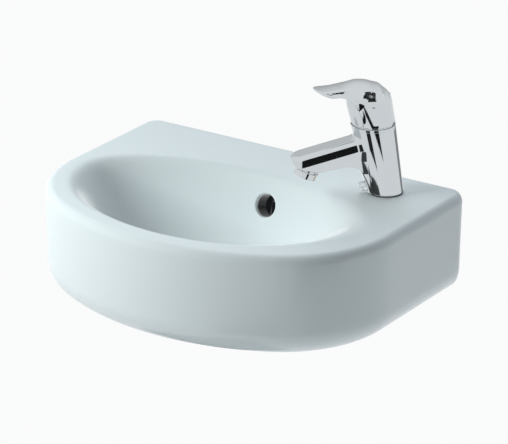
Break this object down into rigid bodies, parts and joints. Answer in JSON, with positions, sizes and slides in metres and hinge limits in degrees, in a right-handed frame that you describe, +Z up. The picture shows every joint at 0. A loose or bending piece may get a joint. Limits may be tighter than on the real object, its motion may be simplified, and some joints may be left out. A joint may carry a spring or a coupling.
{
  "type": "washbasin",
  "caption": "Wall-hung D-shaped washbasin with a bowl, overflow and plug waste, and a single-lever mixer tap on its right ledge.",
  "frame": {"origin": "midway between the two wall fixing holes, on the wall plane", "axes": "+X right along the wall, -Y out into the room, +Z up"},
  "size_m": [0.45, 0.336, 0.3024],
  "materials": {
    "glazed_clay": "white sanitary glaze, glossy",
    "chrome_plate": "polished chrome plate",
    "black_rubber": "matt black",
    "grey_rubber": "matt grey",
    "white_plastic": "satin",
    "grey_plastic": "satin",
    "blue_plastic": "glossy",
    "disc_ceramic": "lapped",
    "brass": "machined",
    "steel": "zinc plated"
  },
  "bodies": {
    "basin_and_tap": {"basin": "glazed_clay", "waste_body": "chrome_plate", "waste_top_seal": "grey_rubber", "waste_lower_seal": "black_rubber", "waste_slip_washer": "white_plastic", "waste_backnut": "brass", "tap_body": "chrome_plate", "tap_base_seal": "black_rubber", "aerator_housing": "chrome_plate", "aerator_insert": "grey_plastic", "aerator_seal": "grey_rubber", "cartridge_housing": "white_plastic", "cartridge_seals": "black_rubber", "fixed_disc": "disc_ceramic", "cartridge_nut": "brass", "cartridge_cover": "chrome_plate", "fixing_stud": "steel", "deck_gasket": "black_rubber", "deck_washer": "steel", "fixing_nut": "brass", "chain_eyelet": "chrome_plate", "supply_tails": "brass"},
    "swing": {"stem_guide": "white_plastic", "stem_pin": "steel"},
    "lever_set": {"lever": "chrome_plate", "lever_screw": "steel", "lever_cap": "blue_plastic", "cartridge_stem": "brass"},
    "disc_set": {"moving_disc": "disc_ceramic", "disc_carrier": "grey_plastic"},
    "plug": {"waste_plug": "black_rubber", "plug_eye": "chrome_plate"}
  },
  "joints": [
    {"name": "lever_swing", "type": "hinge", "parent": "basin_and_tap", "child": "swing", "pos_m": [0.13274, -0.06504, 0.15], "axis": [0, 0, 1], "range_deg": [-45, 45]},
    {"name": "lever_lift", "type": "hinge", "parent": "swing", "child": "lever_set", "pos_m": [0.13274, -0.06504, 0.15], "axis": [-0.6691, 0.7431, 0], "range_deg": [0, 22]},
    {"name": "disc_slide", "type": "slide", "parent": "swing", "child": "disc_set", "axis": [-0.7431, -0.6691, 0], "range_m": [0, 0.0034]},
    {"name": "plug_lift", "type": "slide", "parent": "basin_and_tap", "child": "plug", "axis": [0, 0, 1], "range_m": [0, 0.04]}
  ],
  "couplings": [
    {"joint": "disc_slide", "follows": "lever_lift", "m_per_rad": 0.0088}
  ]
}
